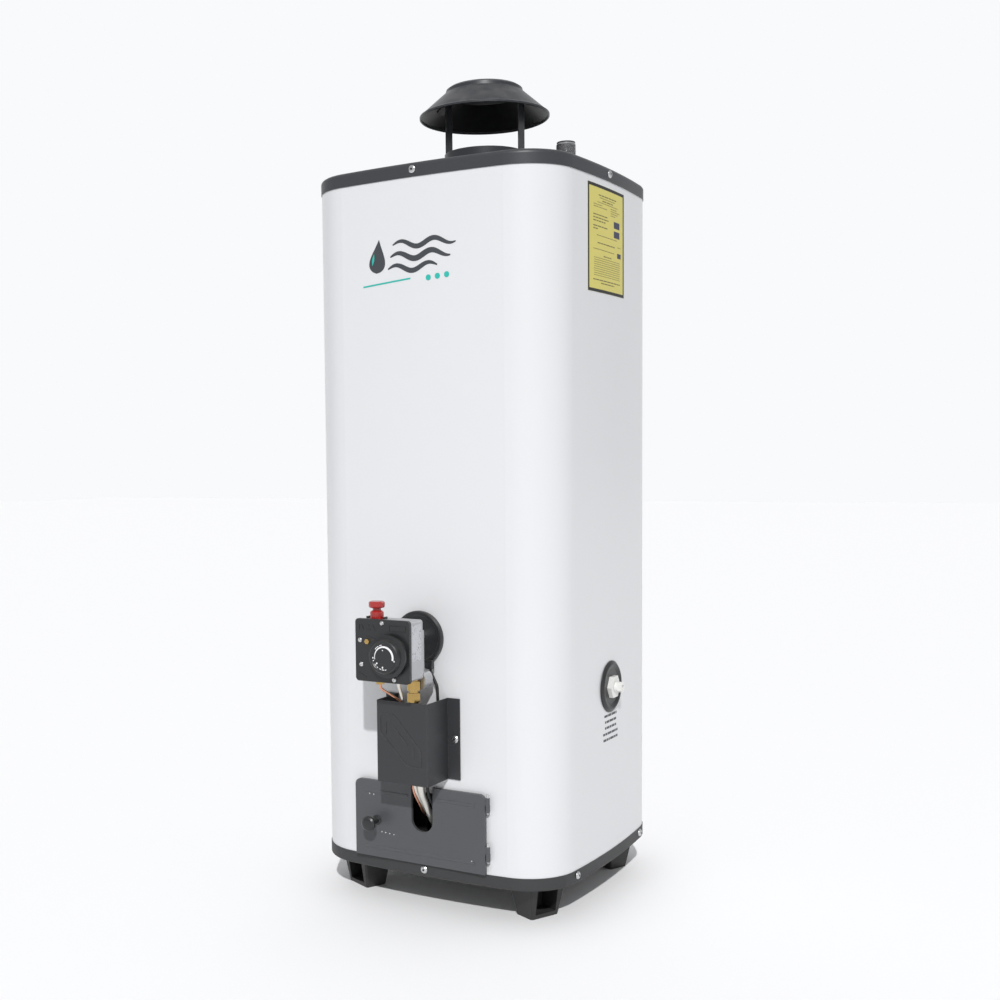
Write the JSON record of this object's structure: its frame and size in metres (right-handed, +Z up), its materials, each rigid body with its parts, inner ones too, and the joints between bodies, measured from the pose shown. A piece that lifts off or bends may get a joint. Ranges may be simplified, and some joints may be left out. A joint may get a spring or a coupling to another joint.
{
  "type": "tank water heater",
  "caption": "Square-bodied gas storage water heater with feet, vented hood, front gas control, shielded tubes, hinged burner door and side drain.",
  "frame": {"origin": "on the floor under the flue axis", "axes": "+Z up, -Y towards the front with the gas control, +X towards the side with the drain and label"},
  "size_m": [0.4226, 0.5206, 1.1782],
  "materials": {
    "jacket_white": "satin powder coat",
    "graphite_paint": "satin powder coat",
    "black_plastic": "matt",
    "plated_steel": "zinc plated",
    "cast_aluminium": "die cast",
    "red_plastic": "gloss",
    "brass": "machined",
    "copper": "drawn copper",
    "white_plastic": "moulded",
    "anode_metal": "cast",
    "foam": "rigid foam",
    "enamelled_steel": "vitreous enamel",
    "black_steel": "heat resisting paint",
    "bare_aluminium": "drawn",
    "black_rubber": "satin",
    "label_paper": "printed film"
  },
  "bodies": {
    "cabinet": {"anode_rod": "anode_metal", "bottom_tray": "graphite_paint", "burner_bracket": "plated_steel", "burner_head": "enamelled_steel", "burner_orifice": "brass", "burner_venturi": "enamelled_steel", "cold_liner": "black_plastic", "cold_water_nipple": "plated_steel", "dip_tube": "white_plastic", "drain_escutcheon": "black_plastic", "drain_valve_body": "white_plastic", "energy_label": "label_paper", "faceplate_screws": "plated_steel", "floor_shield": "plated_steel", "flue_baffle": "enamelled_steel", "flue_collar": "graphite_paint", "flue_tube": "enamelled_steel", "foot_front_left": "black_plastic", "foot_front_right": "black_plastic", "foot_rear_left": "black_plastic", "foot_rear_right": "black_plastic", "gas_valve_body": "cast_aluminium", "hinge_bracket_lower": "graphite_paint", "hinge_bracket_upper": "graphite_paint", "hood_cap": "graphite_paint", "hood_leg_left": "graphite_paint", "hood_leg_right": "graphite_paint", "hot_liner": "black_plastic", "hot_water_nipple": "plated_steel", "igniter_connector": "black_plastic", "igniter_lead": "black_rubber", "inner_door": "black_steel", "insulation": "foam", "lid_screws": "plated_steel", "manifold_fitting": "brass", "manifold_tube": "bare_aluminium", "outer_jacket": "jacket_white", "pilot_burner": "plated_steel", "pilot_tube": "bare_aluminium", "pressure_port_plug": "brass", "shield_screws": "plated_steel", "tank_shell": "enamelled_steel", "tank_skirt": "enamelled_steel", "thermocouple_lead": "copper", "thermocouple_nut": "brass", "thermostat_probe": "copper", "top_cover": "graphite_paint", "tray_screws": "plated_steel", "tube_shield": "graphite_paint", "valve_escutcheon": "black_plastic", "valve_faceplate": "black_plastic", "valve_spud": "plated_steel"},
    "door": {"burner_door": "graphite_paint", "door_knob": "black_plastic", "hinge_pin_upper": "plated_steel", "hinge_pin_lower": "plated_steel"},
    "dial": {"temperature_dial": "black_plastic"},
    "button": {"pilot_button": "red_plastic"},
    "drain_key": {"drain_spindle": "white_plastic"}
  },
  "joints": [
    {"name": "door_hinge", "type": "hinge", "parent": "cabinet", "child": "door", "pos_m": [0.102, -0.2035, 0.125], "axis": [0, 0, 1], "range_deg": [0, 110]},
    {"name": "dial_turn", "type": "hinge", "parent": "cabinet", "child": "dial", "pos_m": [0.009, -0.31, 0.3775], "axis": [0, -1, 0], "range_deg": [0, 290]},
    {"name": "pilot_press", "type": "slide", "parent": "cabinet", "child": "button", "axis": [0, 0, -1], "range_m": [0, 0.006], "stiffness_N_per_m": 400, "springref_m": -0.003},
    {"name": "drain_turn", "type": "hinge", "parent": "cabinet", "child": "drain_key", "pos_m": [0.208, -0.008, 0.307], "axis": [1, 0, 0], "range_deg": [0, 90]}
  ]
}
